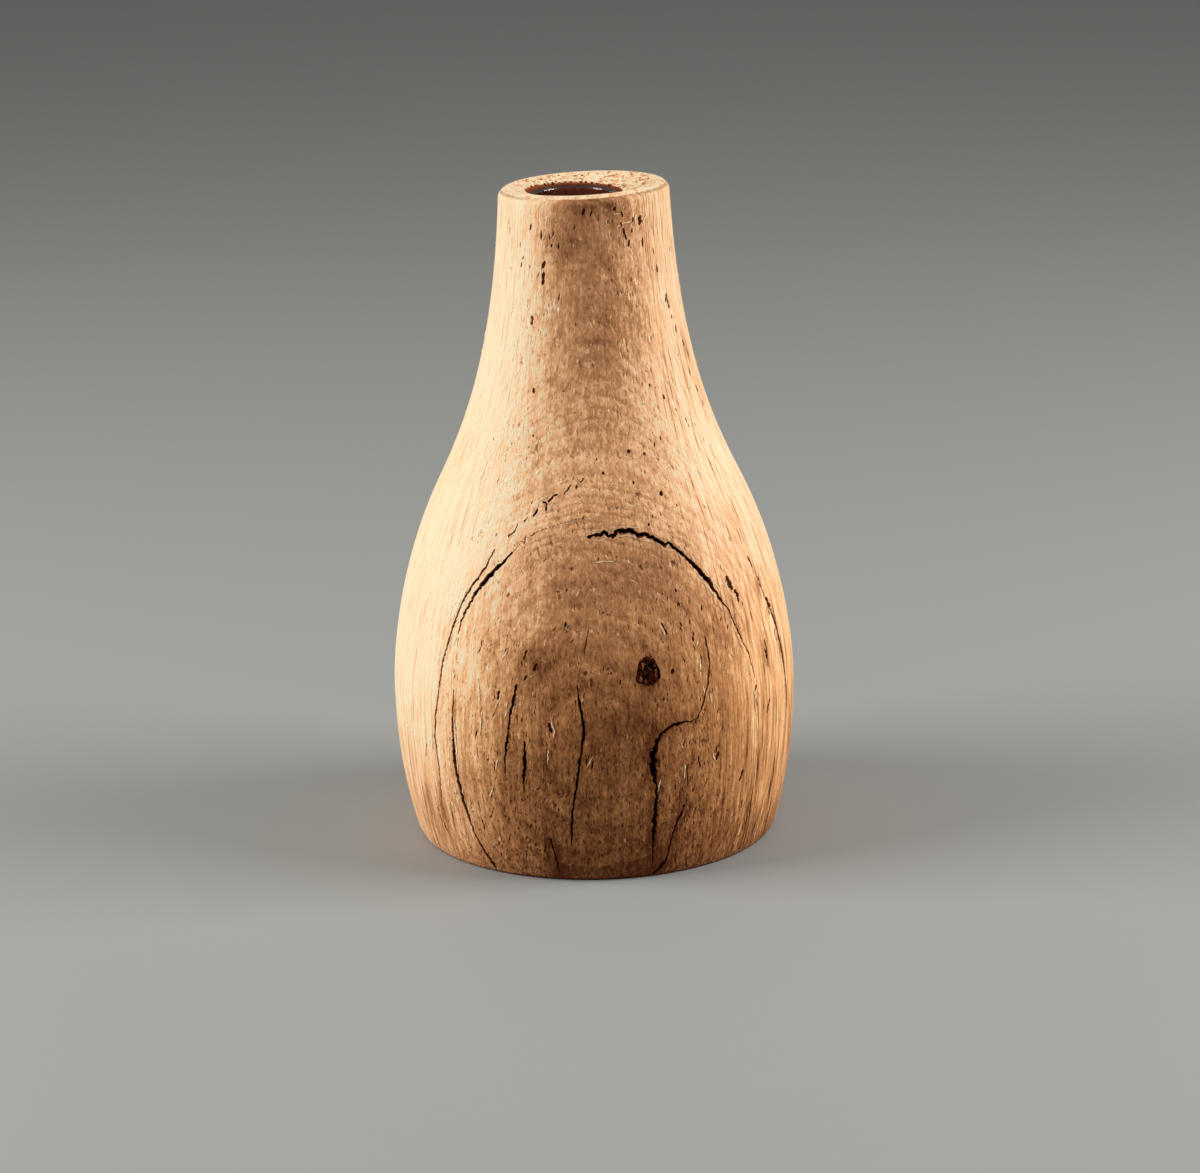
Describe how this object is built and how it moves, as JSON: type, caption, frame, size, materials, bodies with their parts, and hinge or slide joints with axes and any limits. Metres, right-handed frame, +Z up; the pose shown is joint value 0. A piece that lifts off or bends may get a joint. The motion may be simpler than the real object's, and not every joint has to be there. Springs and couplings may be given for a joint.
{
  "type": "bud vase",
  "caption": "Turned wooden bud vase with a full belly, a tapering neck and a loose glass tube in its drilled hole that holds water and a stem.",
  "frame": {"origin": "centre of the foot, on the surface that the vase stands on", "axes": "+Z up along the turning axis, -Y towards the front with the knot"},
  "size_m": [0.074, 0.074, 0.121],
  "materials": {
    "oiled_wood": "satin oil",
    "clear_glass": "polished",
    "knot_wood": "rough, dead wood"
  },
  "bodies": {
    "vase": {"turned_body": "oiled_wood", "dead_knot": "knot_wood"},
    "tube": {"glass_tube": "clear_glass"}
  },
  "joints": [
    {"name": "tube_lift", "type": "slide", "parent": "vase", "child": "tube", "axis": [0, 0, 1], "range_m": [0, 0.105]}
  ]
}
